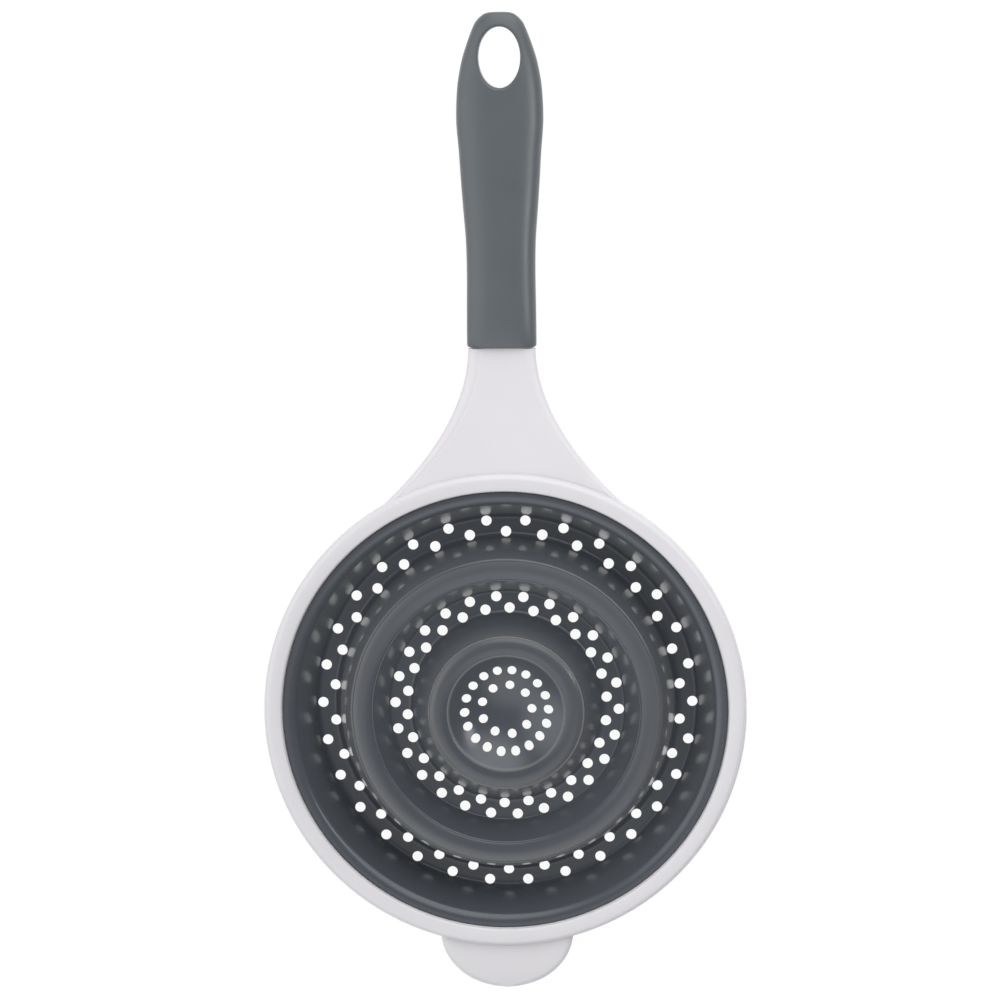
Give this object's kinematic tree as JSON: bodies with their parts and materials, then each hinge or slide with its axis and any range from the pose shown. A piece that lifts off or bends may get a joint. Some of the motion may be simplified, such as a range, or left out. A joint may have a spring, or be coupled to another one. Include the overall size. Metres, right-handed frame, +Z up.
{
  "type": "collapsible strainer",
  "caption": "Round soft strainer bowl with folding rings in a hard rim, with a long neck, a soft grip with a hang hole, and a helper tab opposite.",
  "frame": {"origin": "centre of the overall box, on the surface that the folded strainer stands on", "axes": "+Y towards the grip's tip, +Z up out of the bowl's mouth, +X to the right seen from above with the grip pointing away"},
  "size_m": [0.21, 0.4258, 0.0286],
  "materials": {
    "white_plastic": "satin",
    "soft_grip": "matte",
    "silicone": "satin"
  },
  "bodies": {
    "bowl_base": {"base": "silicone"},
    "bowl_middle": {"middle_ring": "silicone", "inner_fold": "silicone"},
    "holder": {"frame": "white_plastic", "grip": "soft_grip", "bowl_collar": "silicone", "outer_fold": "silicone"}
  },
  "joints": [
    {"name": "inner_fold_opening", "type": "slide", "parent": "bowl_base", "child": "bowl_middle", "axis": [0, 0, 1], "range_m": [0, 0.028], "deforming": ["inner_fold"]},
    {"name": "outer_fold_opening", "type": "slide", "parent": "bowl_middle", "child": "holder", "axis": [0, 0, 1], "range_m": [0, 0.043], "deforming": ["outer_fold"]}
  ]
}
